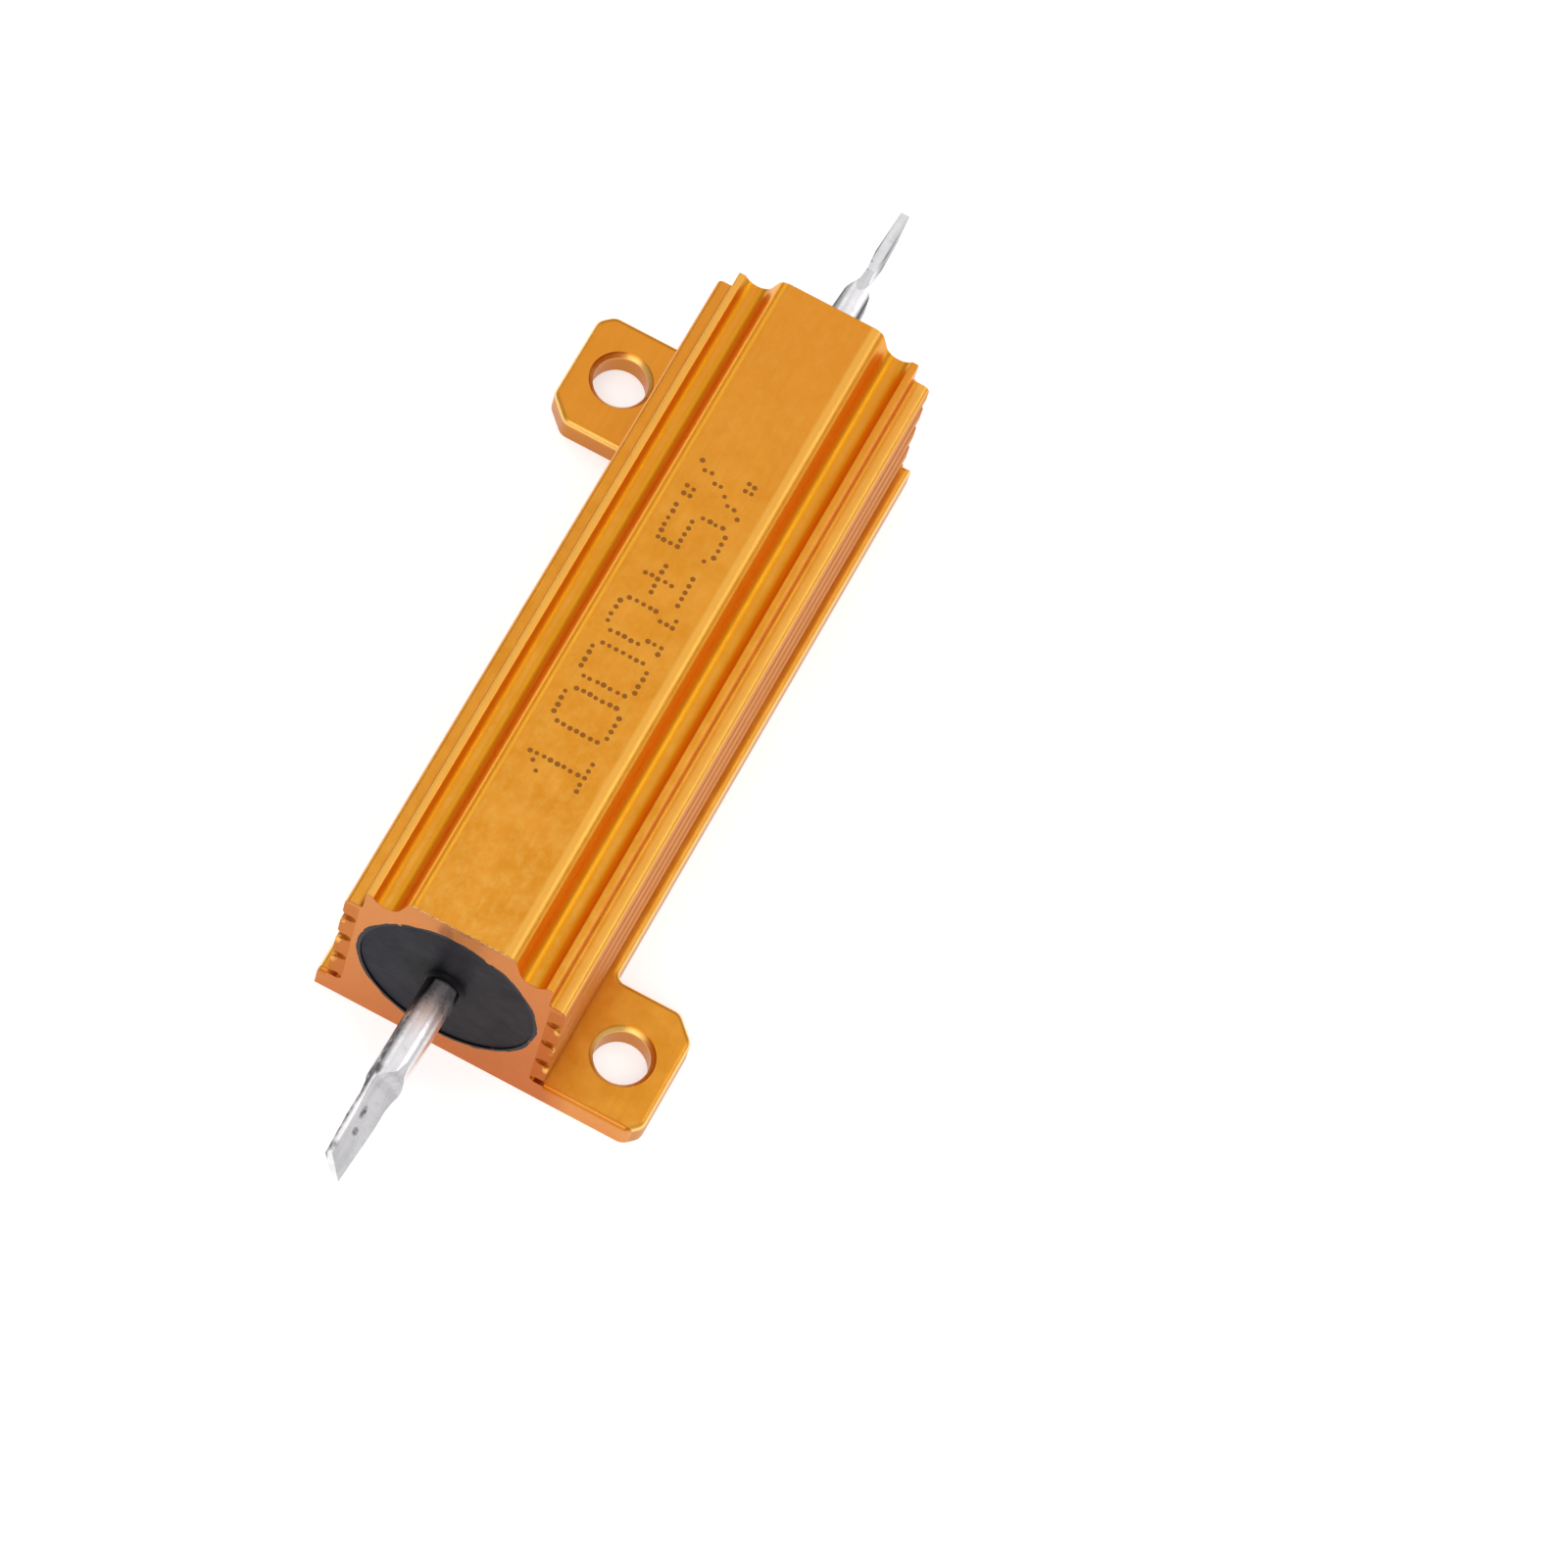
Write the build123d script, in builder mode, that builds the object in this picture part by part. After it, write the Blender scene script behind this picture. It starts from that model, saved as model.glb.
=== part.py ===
from build123d import *
import os
from math import asin, cos, degrees, isclose, radians, sin, tan

os.makedirs("parts", exist_ok=True)

# A wirewound resistor in an extruded aluminium housing, for bolting to a heat sink.
# X runs across the housing, Y along its bore and Z up. The origin is the middle of the mounting face.
# All sizes are in millimetres. Values that differ between the two ends are looked up by FRONT or REAR.
FRONT = -1
REAR = 1

# ---- Housing: the extruded section ----
body_length = 50.0
body_height = 15.5
saw_lean = {FRONT: 1.2, REAR: 0.0}
wall_width = 15.0
ledge_height = 12.0
fin_width = 12.7
fin_height = 13.95
valley_spacing = 10.0
valley_floor = 13.42
valley_radius = 1.0
flank_angle = 70.0
crown_edge_radius = 0.8
fin_edge_radius = 0.15
ledge_corner_radius = 0.3
ledge_edge_radius = 0.45

# ---- Housing: the grooves along each side wall ----
groove_count = 4
groove_pitch = 2.57
groove_gap = 0.7
groove_depth = 0.95
rib_edge_radius = 0.28

# ---- Housing: the bore ----
bore_radius = 5.9
bore_height = body_height / 2

# ---- Housing: the flange and its two fixing ears ----
flange_width = 16.2
flange_thickness = 1.9
ear_span = 28.2
ear_length = 8.55
ear_outer_chamfer = 0.85
ear_inner_chamfer = 1.5
ear_root_radius = 0.6
ear_corner_radius = 0.9
flange_edge_radius = 0.4
hole_spacing_across = 21.6
hole_spacing_along = 41.9
hole_radius = 1.8
hole_rim_chamfer = 0.3

# ---- Wound core ----
core_radius = 3.0
core_length = 32.0
cap_wall = 0.4
cap_depth = 4.5
ribbon_width = 1.3
ribbon_thickness = 0.25
winding_pitch = 2.8
winding_clearance = 0.02

# ---- Terminals ----
terminal_radius = 1.15
weld_head_radius = 1.7
weld_head_thickness = 0.6
weld_offset = {FRONT: -0.04, REAR: -0.1}
wire_lean = {FRONT: -1.0, REAR: 0.8}
reach = {FRONT: 39.65, REAR: 37.6}
blade_roll = {FRONT: -38.0, REAR: 90.0}

# ---- Terminals: the pressed blade. Its stages are measured along the wire from where the press bites. ----
press_start = {FRONT: 32.2, REAR: 30.8}
shoulder_thickness = {FRONT: 2.2, REAR: 1.7}
foot_stage = 0.85
crease_stage = 1.85
blade_stage = 3.3
foot_thickness = 0.65
crease_thickness = 0.53
blade_thickness = 0.8
tip_thickness = 0.6
blade_width = 1.86
tip_width = 1.42
tip_cut_length = 1.05
shoulder_radius = 0.8
foot_radius = 1.0
blade_radius = 0.4
press_lead = {FRONT: 3.2, REAR: 6.0}
press_lift = 0.1
press_margin = 2.0

# ---- Seals ----
seal_thickness = 3.5
seal_recess = 0.1
meniscus_width = 0.35
meniscus_height = 0.25
meniscus_root = 0.3

# ---- Sizes worked out from the ones above ----
half_length = body_length / 2
cap_rim = core_length / 2 - cap_depth
cap_face = core_length / 2 + cap_wall
cap_radius = core_radius + cap_wall
seal_back = half_length - seal_thickness
wire_start = cap_face + weld_head_thickness / 2


def sawn_end(side, inset=0.0):
    """The plane of one sawn end, or a plane set in from it. It crosses the bar's top at half_length."""
    lean = radians(saw_lean[side])
    outwards = (0, side * cos(lean), sin(lean))
    face = Plane(origin=(0, side * half_length, body_height), x_dir=(1, 0, 0), z_dir=outwards)
    return face.offset(-inset)


def sawn_reach(side, height):
    """How far a sawn end is from the middle of the housing at one height."""
    return half_length + (body_height - height) * tan(radians(saw_lean[side]))


def across_bore(side, distance):
    """A plane square to the bore that faces out of one end, at a distance from the middle."""
    return Plane(origin=(0, side * distance, bore_height), x_dir=(1, 0, 0), z_dir=(0, side, 0))


def across_wire(side, distance, roll=0.0):
    """A plane square to a terminal, which leans a little from its weld on the end cap."""
    lean = radians(wire_lean[side])
    along = Vector(sin(lean), side * cos(lean), 0)
    weld = Vector(weld_offset[side], side * cap_face, bore_height)
    level = along.cross(Vector(0, 0, 1)) * side
    x_dir = level * cos(radians(roll)) + Vector(0, 0, 1) * sin(radians(roll))
    return Plane(origin=weld + along * (distance - cap_face), x_dir=x_dir, z_dir=along)


def corners_at(sketch, height, half_width):
    """The pair of corners of a section that lie at one height and one distance from its middle."""
    return sketch.vertices().filter_by(
        lambda v: isclose(v.Y, height, abs_tol=1e-4) and isclose(abs(v.X), half_width, abs_tol=1e-4)
    )


# ---------------------------------------------------------------- housing
# The flange and its ears are one plate, with the ears on one diagonal. It is cut to the sawn ends.
ear_reach = ear_span / 2
ear_inner_end = half_length - ear_length
ear_corner_start = ear_reach - 2 * ear_inner_chamfer
front_length = sawn_reach(FRONT, 0)
rear_length = sawn_reach(REAR, 0)

with BuildPart() as plate:
    with BuildSketch() as plate_outline:
        with Locations((0, (rear_length - front_length) / 2)):
            Rectangle(flange_width, rear_length + front_length)
        with Locations((0, -front_length)):
            Rectangle(ear_reach, front_length - ear_inner_end, align=(Align.MIN, Align.MIN))
        with Locations((0, rear_length)):
            Rectangle(ear_reach, rear_length - ear_inner_end, align=(Align.MAX, Align.MAX))
        sawn_end_corners = corners_at(plate_outline, -front_length, ear_reach)
        sawn_end_corners += corners_at(plate_outline, rear_length, ear_reach)
        milled_corners = corners_at(plate_outline, -ear_inner_end, ear_reach)
        milled_corners += corners_at(plate_outline, ear_inner_end, ear_reach)
        root_corners = corners_at(plate_outline, -ear_inner_end, flange_width / 2)
        root_corners += corners_at(plate_outline, ear_inner_end, flange_width / 2)
        chamfer(sawn_end_corners, ear_outer_chamfer)
        chamfer(milled_corners, ear_inner_chamfer)
        fillet(root_corners, ear_root_radius)
        outer_corners = plate_outline.vertices().filter_by(lambda v: abs(v.X) > ear_corner_start)
        fillet(outer_corners, ear_corner_radius)
    extrude(amount=flange_thickness)
    split(bisect_by=sawn_end(FRONT), keep=Keep.BOTTOM)
    fillet(plate.edges().group_by(Axis.Z)[-1], flange_edge_radius)

# The bar's section is drawn at the rear end and extruded to the front. Each flank of the top plate runs
# down into a round valley, and the valley climbs to a low fin with a ledge beyond it.
valley_x = valley_spacing / 2
valley_start_angle = 180 + (90 - flank_angle)
valley_end_angle = 360 - degrees(asin((valley_radius - (fin_height - valley_floor)) / valley_radius))

with BuildPart() as bar:
    with BuildSketch(Plane.XZ.offset(-rear_length)) as bar_section:
        with BuildLine() as bar_outline:
            valley = CenterArc(
                (valley_x, valley_floor + valley_radius),
                valley_radius,
                valley_start_angle,
                valley_end_angle - valley_start_angle,
            )
            flank = PolarLine(
                valley @ 0,
                body_height - (valley @ 0).Y,
                angle=180 - flank_angle,
                length_mode=LengthMode.VERTICAL,
            )
            Polyline(
                valley @ 1,
                (fin_width / 2, fin_height),
                (fin_width / 2, ledge_height),
                (wall_width / 2, ledge_height),
                (wall_width / 2, 0),
            )
            mirror(about=Plane.YZ)
            crown_half = (flank @ 1).X
            Line((-crown_half, body_height), (crown_half, body_height))
            Line((-wall_width / 2, 0), (wall_width / 2, 0))
        make_face()
        fillet(corners_at(bar_section, body_height, crown_half), crown_edge_radius)
        fillet(corners_at(bar_section, fin_height, (valley @ 1).X), fin_edge_radius)
        fillet(corners_at(bar_section, fin_height, fin_width / 2), fin_edge_radius)
        fillet(corners_at(bar_section, ledge_height, fin_width / 2), ledge_corner_radius)
        fillet(corners_at(bar_section, ledge_height, wall_width / 2), ledge_edge_radius)

        # The lowest groove runs in level with the top of the flange, so only its upper rib is rounded.
        for row in range(groove_count):
            groove_floor = flange_thickness + row * groove_pitch
            groove_roof = groove_floor + groove_gap
            groove_middle = (groove_floor + groove_roof) / 2
            with Locations((-wall_width / 2, groove_middle), (wall_width / 2, groove_middle)):
                SlotOverall(2 * groove_depth, groove_gap, mode=Mode.SUBTRACT)
            fillet(corners_at(bar_section, groove_roof, wall_width / 2), rib_edge_radius)
            if row > 0:
                fillet(corners_at(bar_section, groove_floor, wall_width / 2), rib_edge_radius)
    extrude(amount=rear_length + front_length)
    split(bisect_by=sawn_end(FRONT), keep=Keep.BOTTOM)

with BuildPart() as housing:
    add(bar.part)
    add(plate.part)
    with BuildSketch(across_bore(REAR, 0)):
        Circle(bore_radius)
    extrude(amount=front_length, both=True, mode=Mode.SUBTRACT)
    for end in (FRONT, REAR):
        hole_x = -end * hole_spacing_across / 2
        hole_y = end * hole_spacing_along / 2
        with Locations((hole_x, hole_y, flange_thickness)):
            CounterSinkHole(hole_radius, hole_radius + hole_rim_chamfer, counter_sink_angle=90)

housing.part.label = "housing"
export_step(housing.part, "parts/housing.step")


# ---------------------------------------------------------------- wound core
with BuildPart() as ceramic_core:
    with BuildSketch(across_bore(REAR, 0)):
        Circle(core_radius)
    extrude(amount=core_length / 2, both=True)

ceramic_core.part.label = "ceramic_core"
export_step(ceramic_core.part, "parts/ceramic_core.step")

# The winding is a flat ribbon on a helix. It starts and ends against the rims of the two end caps.
winding_half = cap_rim - ribbon_width / 2
ribbon_middle = core_radius + ribbon_thickness / 2

with BuildPart() as resistance_wire:
    with BuildLine() as winding_line:
        Helix(
            winding_pitch,
            2 * winding_half,
            ribbon_middle,
            center=(0, -winding_half, bore_height),
            direction=(0, 1, 0),
        )
    start = winding_line.line @ 0
    along = winding_line.line % 0
    outwards = start - Vector(0, start.Y, bore_height)
    with BuildSketch(Plane(origin=start, x_dir=outwards, z_dir=along)):
        Rectangle(ribbon_thickness, ribbon_width)
    sweep(path=winding_line.line, is_frenet=True)

resistance_wire.part.label = "resistance_wire"
export_step(resistance_wire.part, "parts/resistance_wire.step")


def make_end_cap(side):
    """A pressed cup that grips one end of the core."""
    with BuildPart() as cap:
        with BuildSketch(across_bore(side, cap_rim)):
            Circle(cap_radius)
        extrude(amount=cap_face - cap_rim)
        with BuildSketch(across_bore(side, cap_rim)):
            Circle(core_radius)
        extrude(amount=cap_depth, mode=Mode.SUBTRACT)
    return cap.part


front_end_cap = make_end_cap(FRONT)
front_end_cap.label = "front_end_cap"
export_step(front_end_cap, "parts/front_end_cap.step")

rear_end_cap = make_end_cap(REAR)
rear_end_cap.label = "rear_end_cap"
export_step(rear_end_cap, "parts/rear_end_cap.step")


# ---------------------------------------------------------------- terminals
def make_terminal(side):
    """A wire with a weld head on the cap, pressed flat near its tip and cut off at a slant."""
    length = reach[side]
    bite = press_start[side]
    wire_root = across_wire(side, 0, blade_roll[side])
    edge_on = Plane(origin=wire_root.origin, x_dir=wire_root.z_dir, z_dir=wire_root.x_dir)
    face_on = Plane(origin=wire_root.origin, x_dir=wire_root.z_dir, z_dir=wire_root.y_dir)
    tool_end = length + press_margin
    tool_height = terminal_radius + press_lift

    with BuildPart() as terminal:
        with BuildSketch(across_bore(side, cap_face)):
            Circle(weld_head_radius)
        extrude(amount=weld_head_thickness)
        with BuildSketch(across_wire(side, wire_start)):
            Circle(terminal_radius)
        extrude(amount=length - wire_start)

        # The press sinks into both faces of the wire. It comes down a rounded shoulder to a thin foot.
        # A crease parts the foot from the blade, which thins towards its tip.
        with BuildSketch(edge_on):
            with BuildLine():
                FilletPolyline(
                    (bite - press_lead[side], tool_height),
                    (bite, shoulder_thickness[side] / 2),
                    (bite + foot_stage, foot_thickness / 2),
                    (bite + crease_stage, crease_thickness / 2),
                    (bite + blade_stage, blade_thickness / 2),
                    (length, tip_thickness / 2),
                    (tool_end, tip_thickness / 2),
                    (tool_end, tool_height),
                    radius=(0, shoulder_radius, foot_radius, 0, blade_radius, 0, 0, 0),
                    close=True,
                )
            make_face()
            mirror(about=Plane.XZ)
        extrude(amount=press_margin, both=True, mode=Mode.SUBTRACT)

        # Seen on its face, the blade narrows on both sides and its tip is cut at a slant.
        with BuildSketch(face_on):
            with BuildLine():
                Polyline(
                    (bite, terminal_radius),
                    (bite + crease_stage, blade_width / 2),
                    (length, tip_width / 2),
                    (tool_end, tip_width / 2),
                    (tool_end, press_margin),
                    (bite, press_margin),
                    close=True,
                )
            make_face()
            mirror(about=Plane.XZ)
            with BuildLine():
                Polyline(
                    (length, tip_width / 2),
                    (length - tip_cut_length, -tip_width / 2),
                    (length - tip_cut_length, -press_margin),
                    (tool_end, -press_margin),
                    (tool_end, tip_width / 2),
                    close=True,
                )
            make_face()
        extrude(amount=press_margin, both=True, mode=Mode.SUBTRACT)
    return terminal.part


front_terminal = make_terminal(FRONT)
front_terminal.label = "front_terminal"
export_step(front_terminal, "parts/front_terminal.step")

rear_terminal = make_terminal(REAR)
rear_terminal.label = "rear_terminal"
export_step(rear_terminal, "parts/rear_terminal.step")


# ---------------------------------------------------------------- filler and seals
bore_axis = Axis((0, 0, bore_height), (0, 1, 0))
winding_room = core_radius + ribbon_thickness + winding_clearance


# The filling takes the shape of the wound core. Each terminal is cut out of it as it stands.
with BuildPart() as filler:
    with BuildSketch(Plane(origin=(0, 0, bore_height), x_dir=(0, 1, 0), z_dir=(1, 0, 0))):
        with BuildLine() as filler_outline:
            Polyline(
                (0, winding_room),
                (cap_rim, winding_room),
                (cap_rim, cap_radius),
                (cap_face, cap_radius),
                (cap_face, 0),
                (seal_back, 0),
                (seal_back, bore_radius),
                (0, bore_radius),
            )
            mirror(about=Plane.YZ)
        make_face()
    revolve(axis=bore_axis)
    add(front_terminal, mode=Mode.SUBTRACT)
    add(rear_terminal, mode=Mode.SUBTRACT)

filler.part.label = "filler"
export_step(filler.part, "parts/filler.step")


def make_seal(side, terminal):
    """A resin plug, just below the sawn end, that climbs the wire in a small meniscus."""
    wire_root = across_wire(side, 0)
    seal_face = sawn_reach(side, bore_height) - seal_recess
    with BuildPart() as seal:
        with BuildSketch(across_bore(side, seal_back)):
            Circle(bore_radius)
        extrude(amount=sawn_reach(side, 0) - seal_back)
        split(bisect_by=sawn_end(side, seal_recess), keep=Keep.BOTTOM)
        with BuildSketch(Plane(origin=wire_root.origin, x_dir=wire_root.z_dir, z_dir=wire_root.y_dir)):
            with BuildLine():
                Polyline(
                    (seal_face + meniscus_height, terminal_radius),
                    (seal_face + meniscus_height, 0),
                    (seal_face - meniscus_root, 0),
                    (seal_face - meniscus_root, terminal_radius + meniscus_width),
                )
                RadiusArc(
                    (seal_face - meniscus_root, terminal_radius + meniscus_width),
                    (seal_face + meniscus_height, terminal_radius),
                    meniscus_width + meniscus_height,
                )
            make_face()
        revolve(axis=Axis(wire_root.origin, wire_root.z_dir))
        add(terminal, mode=Mode.SUBTRACT)
    return seal.part


front_seal = make_seal(FRONT, front_terminal)
front_seal.label = "front_seal"
export_step(front_seal, "parts/front_seal.step")

rear_seal = make_seal(REAR, rear_terminal)
rear_seal.label = "rear_seal"
export_step(rear_seal, "parts/rear_seal.step")
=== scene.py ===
# %% [markdown]
# # A gold-anodised power resistor
#
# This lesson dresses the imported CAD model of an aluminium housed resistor. The real part is a length of
# extruded aluminium with a wire-wound core sealed inside it. The CAD already has its true shape, so most of
# the work here is finish: dyed oxide on aluminium, cast resin and tinned wire.

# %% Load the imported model
import math
import random

import bpy
from mathutils import Matrix, Vector


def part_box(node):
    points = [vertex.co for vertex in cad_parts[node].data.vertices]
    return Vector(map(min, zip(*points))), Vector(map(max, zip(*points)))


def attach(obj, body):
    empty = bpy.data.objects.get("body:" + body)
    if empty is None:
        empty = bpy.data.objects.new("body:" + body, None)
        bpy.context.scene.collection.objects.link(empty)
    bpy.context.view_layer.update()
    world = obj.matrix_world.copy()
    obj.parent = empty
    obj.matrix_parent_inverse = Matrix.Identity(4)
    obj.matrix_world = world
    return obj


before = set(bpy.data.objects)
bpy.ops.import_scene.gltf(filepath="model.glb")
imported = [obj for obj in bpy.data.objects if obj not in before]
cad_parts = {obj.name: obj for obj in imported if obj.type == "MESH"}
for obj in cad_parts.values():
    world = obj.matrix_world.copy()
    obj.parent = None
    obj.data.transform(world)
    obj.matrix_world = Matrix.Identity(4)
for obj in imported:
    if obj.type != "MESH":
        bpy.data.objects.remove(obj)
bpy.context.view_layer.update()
MM = 0.001
housing_low, housing_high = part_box("housing")
print("housing from", tuple(housing_low), "to", tuple(housing_high))

# %% [markdown]
# ## The camera
#
# A long lens from above and a little to the right flattens the perspective, as a catalogue picture does. The
# camera is turned about its own line of sight, so that the resistor lies across the frame on a slant.

# %% Place the camera
camera_place = Vector((0.05065, -0.23731, 0.46429))
camera_target = Vector((0.011564, -0.002240, 0.00775))
camera_roll = math.radians(19.29)
camera_lens = 192.12

camera_data = bpy.data.cameras.new("catalogue_camera")
camera_data.lens = camera_lens
camera_data.sensor_width = 36.0
camera_data.clip_start = 0.01
camera_data.clip_end = 10.0
camera = bpy.data.objects.new("catalogue_camera", camera_data)
bpy.context.scene.collection.objects.link(camera)
line_of_sight = camera_target - camera_place
upright = line_of_sight.to_track_quat("-Z", "Y").to_matrix().to_4x4()
camera.matrix_world = Matrix.Translation(camera_place) @ upright @ Matrix.Rotation(camera_roll, 4, "Z")
bpy.context.scene.camera = camera
print("camera stands", round(line_of_sight.length, 3), "m from the resistor")

# %% [markdown]
# ## Small helpers for node materials
#
# Every finish below is a node tree. These helpers add one node at a time and set or link its sockets, so that
# each material reads as a short recipe. Patterns are measured in millimetres on Object coordinates: they stay
# where they are on the part, whatever the camera does.

# %% Node helpers
def start_finish(name):
    """A new material with an empty principled shader, ready to be filled in."""
    finish = bpy.data.materials.new(name)
    finish.use_nodes = True
    tree = finish.node_tree
    tree.nodes.clear()
    shader = tree.nodes.new("ShaderNodeBsdfPrincipled")
    output = tree.nodes.new("ShaderNodeOutputMaterial")
    tree.links.new(shader.outputs["BSDF"], output.inputs["Surface"])
    return finish, tree, shader


def put(tree, socket, value):
    """Sets a socket to a plain value, or links it to another node's output."""
    if isinstance(value, bpy.types.NodeSocket):
        tree.links.new(value, socket)
    else:
        socket.default_value = value


def in_millimetres(tree, stretch=(1.0, 1.0, 1.0)):
    """Object coordinates in millimetres, stretched along each axis."""
    place = tree.nodes.new("ShaderNodeTexCoord")
    mapping = tree.nodes.new("ShaderNodeMapping")
    mapping.inputs["Scale"].default_value = [axis / MM for axis in stretch]
    tree.links.new(place.outputs["Object"], mapping.inputs["Vector"])
    return mapping.outputs["Vector"]


def noise(tree, vector, scale, detail=3.0, roughness=0.5):
    """A cloud of values from 0 to 1."""
    node = tree.nodes.new("ShaderNodeTexNoise")
    put(tree, node.inputs["Vector"], vector)
    node.inputs["Scale"].default_value = scale
    node.inputs["Detail"].default_value = detail
    node.inputs["Roughness"].default_value = roughness
    return node.outputs["Fac"]


def spread(tree, value, low, high, to_low=0.0, to_high=1.0):
    """Maps low..high to to_low..to_high, and holds it there."""
    node = tree.nodes.new("ShaderNodeMapRange")
    put(tree, node.inputs["Value"], value)
    node.inputs["From Min"].default_value = low
    node.inputs["From Max"].default_value = high
    node.inputs["To Min"].default_value = to_low
    node.inputs["To Max"].default_value = to_high
    return node.outputs["Result"]


def calculate(tree, operation, first, second=0.0):
    """One math node: ADD, SUBTRACT, MAXIMUM and so on."""
    node = tree.nodes.new("ShaderNodeMath")
    node.operation = operation
    put(tree, node.inputs[0], first)
    put(tree, node.inputs[1], second)
    return node.outputs["Value"]


def times(tree, first, second):
    """Two values multiplied. Two masks multiplied leave what both of them cover."""
    return calculate(tree, "MULTIPLY", first, second)


def beyond(tree, value, limit):
    """1 where the value is greater than the limit, and 0 elsewhere."""
    return calculate(tree, "GREATER_THAN", value, limit)


def blend_colours(tree, share, first, second):
    """The first colour where share is 0 and the second where it is 1."""
    node = tree.nodes.new("ShaderNodeMix")
    node.data_type = "RGBA"
    put(tree, node.inputs["Factor"], share)
    put(tree, node.inputs["A"], first)
    put(tree, node.inputs["B"], second)
    return node.outputs["Result"]


def relief(tree, height, depth, under=None):
    """A bump of a real depth in metres, on top of another if one is given."""
    node = tree.nodes.new("ShaderNodeBump")
    node.inputs["Strength"].default_value = 1.0
    node.inputs["Distance"].default_value = depth
    put(tree, node.inputs["Height"], height)
    if under is not None:
        put(tree, node.inputs["Normal"], under)
    return node.outputs["Normal"]


def split(tree, vector):
    """The X, Y and Z of a vector."""
    node = tree.nodes.new("ShaderNodeSeparateXYZ")
    put(tree, node.inputs["Vector"], vector)
    return node.outputs["X"], node.outputs["Y"], node.outputs["Z"]


def dress(node_name, finish):
    """Gives a CAD node its finish."""
    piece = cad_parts[node_name]
    piece.data.materials.clear()
    piece.data.materials.append(finish)
    print(node_name, "gets", finish.name)


# %% Masks in millimetres
def within(tree, value, low, high, soft=0.05):
    """1 where low < value < high and 0 outside, with soft edges in millimetres."""
    rising = spread(tree, value, low - soft, low + soft)
    falling = spread(tree, value, high - soft, high + soft, 1.0, 0.0)
    return times(tree, rising, falling)


def spot(tree, first, second, centre, reach, soft=0.4):
    """1 inside an oval on two coordinates, fading to 0 at its rim. soft is the share of it that fades."""
    squares = []
    for value, middle, half_width in zip((first, second), centre, reach):
        offset = calculate(tree, "DIVIDE", calculate(tree, "SUBTRACT", value, middle), half_width)
        squares.append(times(tree, offset, offset))
    return spread(tree, calculate(tree, "ADD", squares[0], squares[1]), 1.0 - soft, 1.0, 1.0, 0.0)


# %% [markdown]
# ## Gold-anodised aluminium
#
# The bar is extruded, so fine drawn lines run along it. It is then etched, which leaves a satin frost with
# cloudy patches, and anodised: the metal grows a clear oxide skin that soaks up a gold dye. The colour is in
# the skin, so this is a metal with a golden reflection and a thin coat, and not a yellow paint. The sawn ends
# are anodised too, but the saw leaves them duller and more coppery.
#
# One material could be laid on with painted textures. Nodes on Object coordinates do it better here, because
# the drawn lines, the frost and the sawn ends all follow the real axes of the bar.

# %% Gold anodised finish
gold, tree, shader = start_finish("gold_anodised_aluminium")
place = in_millimetres(tree)
x, y, z = split(tree, place)
along_bar = (1.0, 0.03, 1.0)
drawn = noise(tree, in_millimetres(tree, stretch=along_bar), 4.0, 4.0, 0.65)
frost = noise(tree, in_millimetres(tree, stretch=(1.0, 0.7, 1.0)), 1.7, 4.0, 0.68)
clouds = noise(tree, place, 0.5, 3.0, 0.6)
aside = calculate(tree, "ABSOLUTE", x)

plate_gold = (0.83, 0.345, 0.038, 1.0)
deep_gold = (0.75, 0.285, 0.020, 1.0)
pale_gold = (0.95, 0.50, 0.095, 1.0)
valley_shade_gold = (0.78, 0.315, 0.005, 1.0)
wall_shade_gold = (0.66, 0.235, 0.040, 1.0)
sawn_gold = (0.62, 0.210, 0.034, 1.0)
sawn_copper = (0.54, 0.134, 0.008, 1.0)
rear_shade_gold = (0.80, 0.29, 0.028, 1.0)
corner_shade_gold = (0.46, 0.16, 0.012, 1.0)
crown_edge_highlight_gold = (1.0, 0.42, 0.03, 1.0)
low_shade_gold = (0.50, 0.185, 0.025, 1.0)
rim_highlight_gold = (1.0, 0.62, 0.18, 1.0)
ear_end_gold = (0.70, 0.27, 0.045, 1.0)
wire_reflection_brown = (0.30, 0.085, 0.010, 1.0)
resin_film = (0.012, 0.010, 0.013, 1.0)
saw_face = 24.995
ear_start = 7.6

skin_colour = blend_colours(tree, spread(tree, clouds, 0.35, 0.65), deep_gold, plate_gold)
# Painted shade and highlight: the skin is darker towards the rear end, and the frost patches are painted paler
# towards the front end and on top.
rear_shade_share = spread(tree, y, 4.0, 20.0, 0.0, 0.8)
skin_colour = blend_colours(tree, rear_shade_share, skin_colour, rear_shade_gold)
front_highlight_share = spread(tree, y, -25.0, 0.0, 0.70, 0.25)
on_top = spread(tree, z, 11.0, 15.0, 0.35, 1.0)
frost_and_highlight = times(tree, spread(tree, frost, 0.42, 0.74), times(tree, front_highlight_share, on_top))
skin_colour = blend_colours(tree, frost_and_highlight, skin_colour, pale_gold)
skin_colour = blend_colours(tree, spread(tree, drawn, 0.52, 0.75, 0.0, 0.35), skin_colour, deep_gold)

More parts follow.
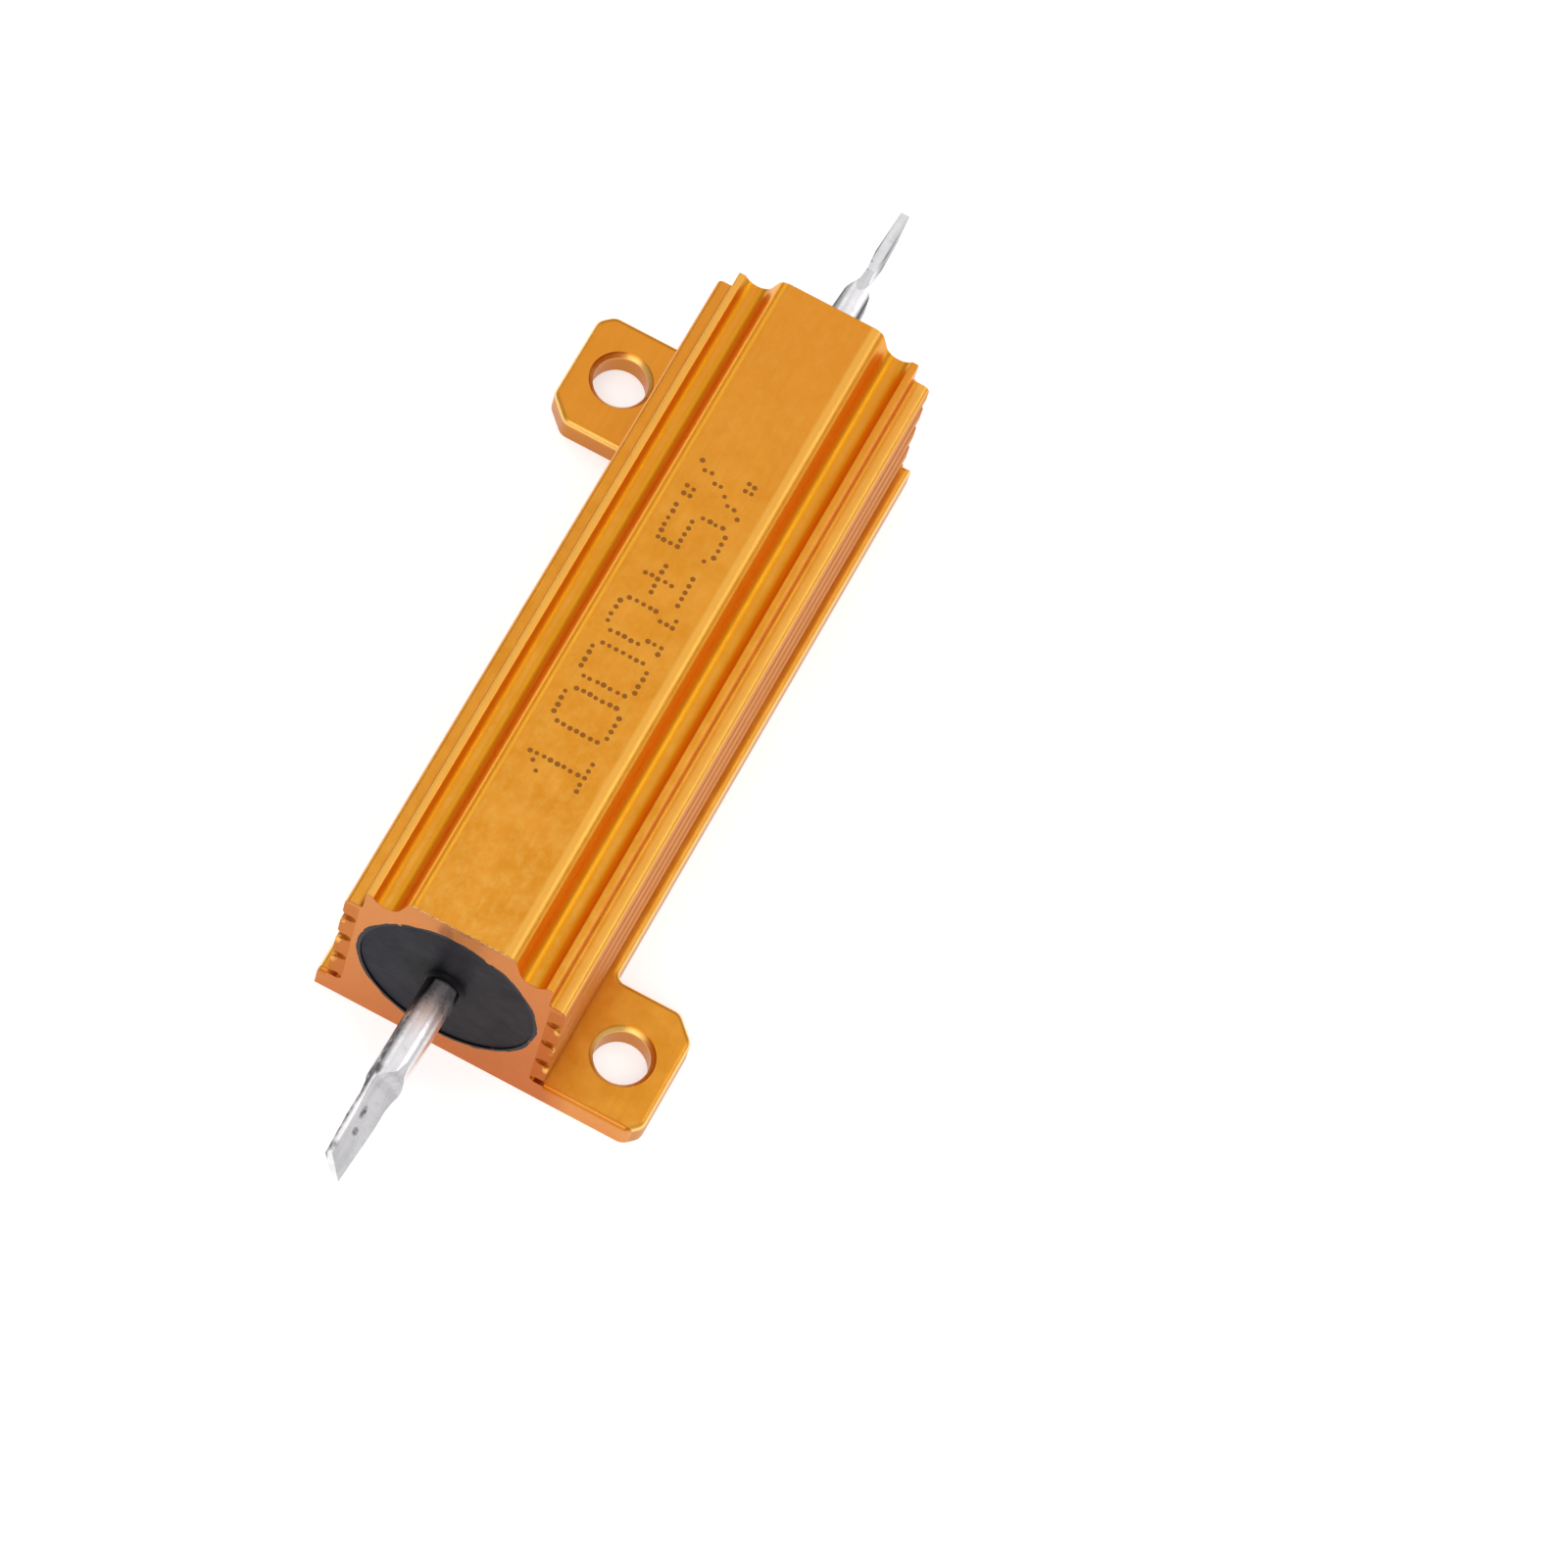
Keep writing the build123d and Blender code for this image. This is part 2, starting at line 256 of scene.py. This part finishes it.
# Painted shade: a deeper colour on the steep sides of the two valleys, and a dark one in the corner at the foot
# of the
# left fin. Painted highlights: a paler colour on the ledge, the left fin, the crown's edge and the rims of the
# ears.
steep_sides = calculate(tree, "ADD", within(tree, aside, 3.6, 4.82, 0.12), within(tree, aside, 5.22, 5.80, 0.06))
in_valley = times(tree, steep_sides, beyond(tree, z, 13.2))
skin_colour = blend_colours(tree, times(tree, in_valley, 0.75), skin_colour, valley_shade_gold)
painted_highlight = times(tree, within(tree, x, 6.72, 7.6, 0.12), beyond(tree, z, 11.4))
fin_highlight = times(tree, within(tree, x, -6.4, -5.85, 0.08), beyond(tree, z, 13.0))
on_crown = beyond(tree, z, 14.6)
crown_highlight = times(tree, within(tree, x, 2.80, 3.45, 0.10), on_crown)
painted_highlight = calculate(tree, "MAXIMUM", calculate(tree, "MAXIMUM", painted_highlight, fin_highlight), crown_highlight)
painted_highlight = times(tree, painted_highlight, 0.7)
skin_colour = blend_colours(tree, painted_highlight, skin_colour, pale_gold)
# A painted highlight along the left edge of the crown.
left_crown_highlight = times(tree, within(tree, x, -3.70, -3.15, 0.08), on_crown)
skin_colour = blend_colours(tree, left_crown_highlight, skin_colour, crown_edge_highlight_gold)
shaded_corner = times(tree, within(tree, x, -6.62, -6.36, 0.06), within(tree, z, 11.9, 12.6, 0.05))
skin_colour = blend_colours(tree, shaded_corner, skin_colour, corner_shade_gold)
# Painted shade on the side walls: a darker, duller colour.
on_wall = times(tree, within(tree, z, 2.3, 11.7, 0.1), beyond(tree, aside, 6.5))
skin_colour = blend_colours(tree, on_wall, skin_colour, wall_shade_gold)

# Painted shade darkens the flange and the ears low down, and a painted highlight brightens their upper rims.
on_ear = beyond(tree, aside, ear_start)
low_shade = times(tree, within(tree, z, -0.2, 1.45, 0.1), on_ear)
skin_colour = blend_colours(tree, times(tree, low_shade, 0.8), skin_colour, low_shade_gold)
rim_highlight = times(tree, within(tree, z, 1.55, 1.80, 0.06), on_ear)
skin_colour = blend_colours(tree, rim_highlight, skin_colour, rim_highlight_gold)

# The saw leaves a dull coppery end. A painted dark reflection of the front wire lies above the bore at the
# front.
# The burrs along its edges are raised in relief, and their brightness is a painted highlight.
to_lower_right = spread(tree, calculate(tree, "SUBTRACT", x, z), -16.0, 2.0)
saw_colour = blend_colours(tree, to_lower_right, sawn_gold, sawn_copper)
ear_end = times(tree, spread(tree, z, 2.2, 1.6), spread(tree, x, 7.6, 9.5))
saw_colour = blend_colours(tree, ear_end, saw_colour, ear_end_gold)
burrs_and_highlights = spread(tree, z, 15.15, 15.4)
for rib_height in (9.6, 6.9, 4.3):
    burrs_and_highlights = calculate(tree, "MAXIMUM", burrs_and_highlights, spot(tree, aside, z, (7.35, rib_height), (0.3, 0.75), soft=0.7))
broken_up = spread(tree, noise(tree, place, 2.6, 2.0, 0.6), 0.40, 0.52)
burrs_and_highlights = times(tree, burrs_and_highlights, broken_up)
saw_colour = blend_colours(tree, burrs_and_highlights, saw_colour, pale_gold)
wire_reflection = spot(tree, x, z, (-1.0, 14.3), (0.6, 1.2), soft=0.8)
wire_reflection = times(tree, wire_reflection, spread(tree, y, -20.0, -21.0))
saw_colour = blend_colours(tree, times(tree, wire_reflection, 0.7), saw_colour, wire_reflection_brown)

# The resin creeps a little over the edge of the bore, and not by the same amount all round.
round_bore = spot(tree, x, z, (0.0, 7.75), (6.3, 6.3), soft=0.08)
shoreline = spread(tree, noise(tree, place, 0.45, 3.0, 0.6), 0.35, 0.65, 0.40, 1.05)
creep = calculate(tree, "SUBTRACT", round_bore, shoreline)
saw_colour = blend_colours(tree, spread(tree, creep, -0.03, 0.03), saw_colour, resin_film)

on_end = beyond(tree, calculate(tree, "ABSOLUTE", y), saw_face)
put(tree, shader.inputs["Base Color"], blend_colours(tree, on_end, skin_colour, saw_colour))
shader.inputs["Metallic"].default_value = 1.0
texture = calculate(tree, "ADD", times(tree, drawn, 0.45), times(tree, frost, 0.55))
satin = spread(tree, texture, 0.35, 0.65, 0.30, 0.40)
put(tree, shader.inputs["Roughness"], calculate(tree, "ADD", satin, times(tree, on_wall, 0.25)))
grain = relief(tree, texture, 0.009 * MM)
put(tree, shader.inputs["Normal"], relief(tree, times(tree, burrs_and_highlights, on_end), 0.12 * MM, grain))
shader.inputs["Coat Weight"].default_value = 0.06
shader.inputs["Coat Roughness"].default_value = 0.3
dress("housing", gold)

# %% [markdown]
# ## Cast resin
#
# Each end of the bore is closed with black resin, poured in and left to set. It has a soft skin with slow
# ripples, and painted shade makes it darkest round the wire. A plain dark plastic would look moulded, so the
# colour drifts a little from blue to brown, and the roughness ripples.

# %% Resin
resin, tree, shader = start_finish("black_resin")
place = in_millimetres(tree)
x, y, z = split(tree, place)
ripple = noise(tree, place, 0.5, 2.0, 0.5)
fine = noise(tree, place, 6.0, 2.0, 0.5)
blue_black = (0.012, 0.012, 0.020, 1.0)
brown_black = (0.015, 0.010, 0.013, 1.0)
wire_shade_black = (0.002, 0.002, 0.002, 1.0)
cast = blend_colours(tree, spread(tree, x, -4.0, 3.0), blue_black, brown_black)
# Painted shade round the wire, where it leaves the resin.
round_wire_shade = spot(tree, x, z, (-0.9, 8.3), (2.4, 2.6), soft=0.9)
put(tree, shader.inputs["Base Color"], blend_colours(tree, round_wire_shade, cast, wire_shade_black))
put(tree, shader.inputs["Roughness"], spread(tree, ripple, 0.3, 0.7, 0.34, 0.48))
shader.inputs["Specular IOR Level"].default_value = 0.09
surface = calculate(tree, "ADD", ripple, times(tree, fine, 0.08))
put(tree, shader.inputs["Normal"], relief(tree, surface, 0.06 * MM))
dress("front_seal", resin)
dress("rear_seal", resin)

# %% [markdown]
# ## Tinned wire
#
# The terminals are copper-plated steel wire dipped in tin. The press that flattens their ends leaves small
# dents and dark marks in the blades, and painted shade lies under the shoulder and on the cut tip of the front
# blade. All are painted with masks at their places along the wire, because they are only tenths of a millimetre
# across.

# %% Tinned wire
tin, tree, shader = start_finish("tinned_wire")
place = in_millimetres(tree)
x, y, z = split(tree, place)
streaks = noise(tree, in_millimetres(tree, stretch=(1.0, 0.12, 1.0)), 1.6, 2.0, 0.5)
blotches = noise(tree, place, 1.3, 3.0, 0.6)
dull_tin = (0.76, 0.75, 0.77, 1.0)
bright_tin = (0.93, 0.91, 0.93, 1.0)
blotched_tin = (0.52, 0.51, 0.52, 1.0)
dent_and_shade_tin = (0.16, 0.155, 0.16, 1.0)
edge_shade_tin = (0.18, 0.175, 0.18, 1.0)
flank_shade_tin = (0.10, 0.095, 0.10, 1.0)
smeared_resin = (0.05, 0.045, 0.05, 1.0)
tinned = blend_colours(tree, spread(tree, streaks, 0.35, 0.65), dull_tin, bright_tin)
tinned = blend_colours(tree, spread(tree, blotches, 0.58, 0.75, 0.0, 0.5), tinned, blotched_tin)

# Where the dents, the dark marks and the painted shade are, as X and Y in millimetres, and how far each one
# reaches.
dents_and_shade_marks = [
    ((-0.43, -35.2), (0.20, 0.60)),
    ((-0.29, -36.5), (0.22, 0.35)),
    ((-1.05, -32.4), (0.36, 0.50)),
    ((-1.02, -38.0), (0.34, 0.48)),
    ((-1.25, -38.9), (0.36, 0.70)),
    ((-0.25, 32.6), (0.25, 0.20)),
    ((-0.20, 33.3), (0.20, 0.15)),
]
dents_and_shade = 0.0
for centre, reach in dents_and_shade_marks:
    dents_and_shade = calculate(tree, "MAXIMUM", dents_and_shade, spot(tree, x, y, centre, reach, soft=0.95))
ragged = spread(tree, noise(tree, place, 3.5, 2.0, 0.6), 0.35, 0.6, 0.45, 1.0)
dents_and_shade = times(tree, dents_and_shade, ragged)
tinned = blend_colours(tree, dents_and_shade, tinned, dent_and_shade_tin)

# Black resin clings to the wire where it leaves the seal.
left_smear = spot(tree, x, y, (-1.35, -25.2), (0.7, 2.4))
right_smear = spot(tree, x, y, (1.0, -25.2), (0.3, 1.0))
smear = calculate(tree, "MAXIMUM", left_smear, right_smear)
smear = calculate(tree, "MAXIMUM", smear, within(tree, y, -25.45, 25.2, 0.1))
tinned = blend_colours(tree, smear, tinned, smeared_resin)

# A painted dark reflection draws a grey line down both sides of the rear terminal, as the dim horizon does on
# shiny wire.
rear_middle = spread(tree, y, 16.4, 37.6, -0.10, 0.196)
rear_half = spread(tree, y, 31.0, 32.5, 0.72, 0.29)
from_middle = calculate(tree, "ABSOLUTE", calculate(tree, "SUBTRACT", x, rear_middle))
edge_shade = spread(tree, calculate(tree, "SUBTRACT", from_middle, rear_half), -0.02, 0.08)
edge_shade = times(tree, edge_shade, beyond(tree, y, 0.0))
tinned = blend_colours(tree, edge_shade, tinned, edge_shade_tin)

# The front terminal has one such painted dark line, on its left flank.
front_middle = spread(tree, y, -39.65, -25.0, -0.446, -0.19)
left_flank_shade = spread(tree, calculate(tree, "SUBTRACT", x, front_middle), -0.62, -0.80)
left_flank_shade = times(tree, left_flank_shade, calculate(tree, "LESS_THAN", y, 0.0))
left_flank_shade = times(tree, left_flank_shade, spread(tree, blotches, 0.30, 0.55, 0.45, 1.0))
put(tree, shader.inputs["Base Color"], blend_colours(tree, left_flank_shade, tinned, flank_shade_tin))
shader.inputs["Metallic"].default_value = 1.0
put(tree, shader.inputs["Roughness"], spread(tree, blotches, 0.3, 0.7, 0.24, 0.36))
put(tree, shader.inputs["Normal"], relief(tree, calculate(tree, "SUBTRACT", blotches, dents_and_shade), 0.012 * MM))
dress("front_terminal", tin)
dress("rear_terminal", tin)

# %% [markdown]
# ## The hidden pieces
#
# The winding, its core, the caps and the filling are sealed inside. They show only when the part is taken
# apart, but each still has a finish of its own: chalky ceramic, drawn alloy, plated steel and gritty filling.

# %% The hidden pieces
ceramic, tree, shader = start_finish("white_ceramic")
chalk = noise(tree, in_millimetres(tree), 2.0, 4.0, 0.6)
chalky = blend_colours(tree, chalk, (0.72, 0.70, 0.65, 1.0), (0.86, 0.84, 0.79, 1.0))
put(tree, shader.inputs["Base Color"], chalky)
put(tree, shader.inputs["Roughness"], spread(tree, chalk, 0.3, 0.7, 0.55, 0.75))
dress("ceramic_core", ceramic)

ribbon, tree, shader = start_finish("resistance_alloy")
drawn = noise(tree, in_millimetres(tree), 4.0, 3.0, 0.6)
shader.inputs["Metallic"].default_value = 1.0
alloy = blend_colours(tree, drawn, (0.38, 0.33, 0.29, 1.0), (0.55, 0.49, 0.44, 1.0))
put(tree, shader.inputs["Base Color"], alloy)
put(tree, shader.inputs["Roughness"], spread(tree, drawn, 0.3, 0.7, 0.30, 0.45))
dress("resistance_wire", ribbon)

plated, tree, shader = start_finish("plated_steel")
drawn = noise(tree, in_millimetres(tree), 3.0, 3.0, 0.6)
shader.inputs["Metallic"].default_value = 1.0
plating = blend_colours(tree, drawn, (0.55, 0.55, 0.53, 1.0), (0.70, 0.70, 0.68, 1.0))
put(tree, shader.inputs["Base Color"], plating)
put(tree, shader.inputs["Roughness"], spread(tree, drawn, 0.3, 0.7, 0.25, 0.40))
dress("front_end_cap", plated)
dress("rear_end_cap", plated)

filling, tree, shader = start_finish("grey_filling")
grit = noise(tree, in_millimetres(tree), 5.0, 5.0, 0.7)
sandy = blend_colours(tree, grit, (0.30, 0.29, 0.28, 1.0), (0.52, 0.51, 0.49, 1.0))
put(tree, shader.inputs["Base Color"], sandy)
put(tree, shader.inputs["Roughness"], spread(tree, grit, 0.3, 0.7, 0.75, 0.95))
dress("filler", filling)

# %% [markdown]
# ## The printed value
#
# An ink-jet head prints the value on the flat top as dots, one column at a time, while the bar passes by. This
# one says 100 ohm, 5 percent, which is plain and general. Text from a font would need its outlines filled with
# dots, so instead each character is a small grid of dots, as in the printer itself.
#
# One dot is a thin disc of ink. It is modelled once, and each copy gets its own mesh and a small error of
# place and size, because ink drops never land on an exact grid.

# %% The dot grids of the characters (sizes in millimetres)
characters = {
    "1": ("001000", "011000", "101000", "001000", "001000", "001000", "001000", "001000", "111110"),
    "0": ("011110", "100001", "100001", "100001", "100001", "100001", "100001", "100001", "011110"),
    "ohm": ("011110", "100001", "100001", "100001", "100001", "100001", "010010", "010010", "110011"),
    "plus_minus": ("000000", "001000", "001000", "111110", "001000", "001000", "000000", "111110", "000000"),
    "5": ("111111", "100000", "100000", "111110", "000001", "000001", "000001", "100001", "011110"),
    "percent": ("110001", "110010", "000010", "000100", "000100", "001000", "010000", "010011", "100011"),
}
value = ("1", "0", "0", "ohm", "plus_minus", "5", "percent")
character_pitch = 3.6
dot_pitch_along = 0.52
dot_pitch_across = 0.46
first_column = -13.2
top_row = -2.1
dot_radius = 0.17
ink_thickness = 0.003
print("the value has", len(value), "characters")

# %% One dot of ink
bpy.ops.object.select_all(action="DESELECT")
bpy.ops.mesh.primitive_circle_add(vertices=12, radius=dot_radius * MM, fill_type="NGON")
dot = bpy.context.object
bpy.ops.object.mode_set(mode="EDIT")
bpy.ops.mesh.select_all(action="SELECT")
bpy.ops.mesh.inset(thickness=0.05 * MM, depth=0.0)
bpy.ops.transform.translate(value=(0.0, 0.0, ink_thickness * MM))
bpy.ops.object.mode_set(mode="OBJECT")
print("one dot has", len(dot.data.polygons), "faces")

# %% Print the value
ink_drops = random.Random(7)
place_error = 0.04
plate_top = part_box("housing")[1][2]
dots = []
for place_in_value, character in enumerate(value):
    for row, line in enumerate(characters[character]):
        for column, filled in enumerate(line):
            if filled == "0":
                continue
            across = top_row + row * dot_pitch_across
            across = across + ink_drops.uniform(-place_error, place_error)
            along = first_column + place_in_value * character_pitch + column * dot_pitch_along
            along = along + ink_drops.uniform(-place_error, place_error)
            size = ink_drops.uniform(0.85, 1.12)
            drop = dot.copy()
            drop.data = dot.data.copy()
            move = Matrix.Translation((across * MM, along * MM, plate_top))
            drop.data.transform(move @ Matrix.Diagonal((size, size, 1.0, 1.0)))
            bpy.context.scene.collection.objects.link(drop)
            dots.append(drop)
bpy.data.objects.remove(dot)
bpy.ops.object.select_all(action="DESELECT")
for drop in dots:
    drop.select_set(True)
bpy.context.view_layer.objects.active = dots[0]
bpy.ops.object.join()
printed_value = bpy.context.object
printed_value.name = "printed_value"
print("printed", len(dots), "dots")

# %% Ink finish
ink, tree, shader = start_finish("brown_marking_ink")
place = in_millimetres(tree)
thin = noise(tree, place, 4.0, 2.0, 0.6)
brown = blend_colours(tree, thin, (0.28, 0.088, 0.003, 1.0), (0.40, 0.135, 0.005, 1.0))
put(tree, shader.inputs["Base Color"], brown)
put(tree, shader.inputs["Roughness"], spread(tree, thin, 0.3, 0.7, 0.45, 0.6))
shader.inputs["Specular IOR Level"].default_value = 0.3
printed_value.data.materials.append(ink)
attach(printed_value, "root")

# %% [markdown]
# ## The floor and the lamps
#
# The resistor lies on white paper in a white room. Bare metal shows nothing but what stands around it, so the
# lamps are large soft boxes: one overhead behind it for the flat tops, one on each side for the edges that lean
# that way, and one in front for the rounded edges near the camera. The room is dim at the horizon, which draws a
# dark line down both sides of the shiny wires.

# %% Floor
bpy.ops.object.select_all(action="DESELECT")
just_below = -0.01 * MM
bpy.ops.mesh.primitive_plane_add(size=3.0, location=(0.0, 0.0, just_below))
floor = bpy.context.object
floor.name = "studio_floor"
paper = bpy.data.materials.new("white_paper")
paper.use_nodes = True
tree = paper.node_tree
tree.nodes.clear()
matt = tree.nodes.new("ShaderNodeBsdfDiffuse")
matt.inputs["Color"].default_value = (0.82, 0.82, 0.82, 1.0)
lift = tree.nodes.new("ShaderNodeEmission")
rays = tree.nodes.new("ShaderNodeLightPath")
seen = calculate(tree, "MAXIMUM", rays.outputs["Is Camera Ray"], rays.outputs["Is Glossy Ray"])
seen = calculate(tree, "MAXIMUM", seen, rays.outputs["Is Transmission Ray"])
paper_glow = 0.54
put(tree, lift.inputs["Strength"], times(tree, seen, paper_glow))
both = tree.nodes.new("ShaderNodeAddShader")
output = tree.nodes.new("ShaderNodeOutputMaterial")
tree.links.new(matt.outputs["BSDF"], both.inputs[0])
tree.links.new(lift.outputs["Emission"], both.inputs[1])
tree.links.new(both.outputs["Shader"], output.inputs["Surface"])
floor.data.materials.append(paper)
print("the floor is", floor.name)

# %% Lamps
world = bpy.data.worlds.new("soft_room")
bpy.context.scene.world = world
world.use_nodes = True
tree = world.node_tree
tree.nodes.clear()
room = tree.nodes.new("ShaderNodeBackground")
output = tree.nodes.new("ShaderNodeOutputWorld")
rays = tree.nodes.new("ShaderNodeLightPath")
room.inputs["Color"].default_value = (1.0, 1.0, 1.0, 1.0)
direction = tree.nodes.new("ShaderNodeTexCoord").outputs["Generated"]
to_right, _, height = split(tree, direction)
sky = spread(tree, height, 0.02, 0.40, 0.26, 0.48)
ceiling = spread(tree, height, 0.62, 0.84, 0.3, 0.80)
right_wall = spread(tree, to_right, 0.15, 0.75, 0.0, 0.60)
sky = calculate(tree, "MAXIMUM", sky, calculate(tree, "MAXIMUM", ceiling, right_wall))
put(tree, room.inputs["Strength"], calculate(tree, "MAXIMUM", sky, rays.outputs["Is Camera Ray"]))
tree.links.new(room.outputs["Background"], output.inputs["Surface"])


def add_softbox(name, place, width, height, brightness):
    """A rectangular lamp that faces the resistor. White paper seen under brightness 1 is white."""
    lamp_data = bpy.data.lights.new(name, "AREA")
    lamp_data.shape = "RECTANGLE"
    lamp_data.size = width
    lamp_data.size_y = height
    lamp_data.energy = brightness * math.pi * width * height
    lamp = bpy.data.objects.new(name, lamp_data)
    bpy.context.scene.collection.objects.link(lamp)
    facing = (-Vector(place)).to_track_quat("-Z", "Y").to_matrix().to_4x4()
    lamp.matrix_world = Matrix.Translation(Vector(place)) @ facing
    print(name, "gives", round(lamp_data.energy, 2), "W")


add_softbox("overhead_box", (0.0, 0.47, 0.88), 0.9, 0.7, 0.25)
add_softbox("right_box", (0.66, 0.42, 0.66), 0.40, 0.40, 1.5)
add_softbox("left_box", (-0.66, 0.42, 0.62), 0.40, 0.40, 0.8)
add_softbox("front_box", (-0.05, -0.72, 0.60), 0.8, 0.8, 1.25)

bpy.context.scene.view_settings.view_transform = "Standard"
